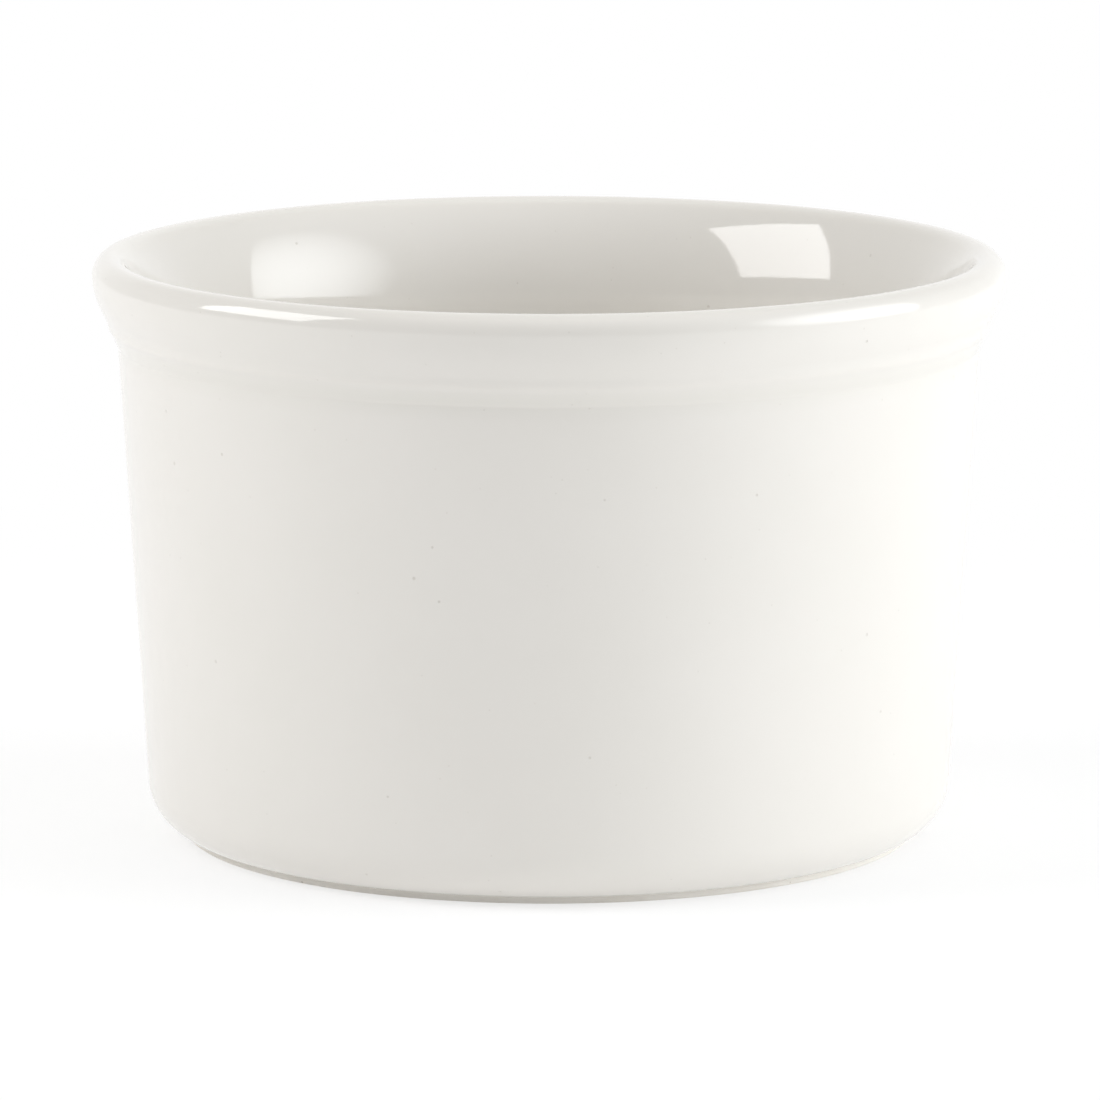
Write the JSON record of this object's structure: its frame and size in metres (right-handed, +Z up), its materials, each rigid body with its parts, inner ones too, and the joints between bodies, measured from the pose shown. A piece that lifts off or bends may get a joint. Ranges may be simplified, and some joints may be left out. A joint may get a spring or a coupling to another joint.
{
  "type": "souffle dish",
  "caption": "Round straight-sided glazed ceramic baking dish with a flared collar, a rolled lip and a bare foot ring, for one baked and served portion.",
  "frame": {"origin": "centre of the foot ring, on the plane that the dish stands on", "axes": "+Z up along the dish's axis, from the foot to the mouth; X and Y are any two level directions of the round dish"},
  "size_m": [0.1, 0.1, 0.064],
  "materials": {
    "clay": "bare fired clay, fine-grained and matt",
    "glaze": "glossy warm-white glaze"
  },
  "bodies": {
    "root": {"clay_body": "clay", "glaze_coat": "glaze", "base_glaze": "glaze"}
  },
  "joints": []
}
